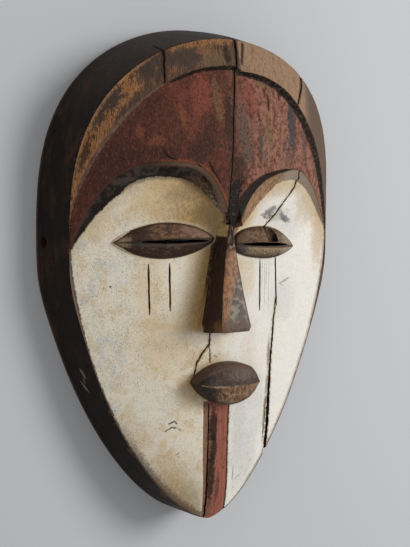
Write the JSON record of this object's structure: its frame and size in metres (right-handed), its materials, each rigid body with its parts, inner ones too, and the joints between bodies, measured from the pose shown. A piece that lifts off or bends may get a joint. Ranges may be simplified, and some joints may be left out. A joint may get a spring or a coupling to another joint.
{
  "type": "vuvi mask",
  "caption": "Tall teardrop face mask carved from wood and hollowed behind, with a raised crown band, arched brows, slit eyes, a fin nose and a leaf-shaped mouth.",
  "frame": {"origin": "middle of the outer box of the flat back rim, which the mask lies on", "axes": "+X to the viewer's right, +Y towards the crown, +Z out of the face"},
  "size_m": [0.273, 0.41, 0.089],
  "materials": {
    "carved_wood": "matt, painted with white clay and red and black earth colours, worn"
  },
  "bodies": {
    "root": {"mask": "carved_wood"}
  },
  "joints": []
}
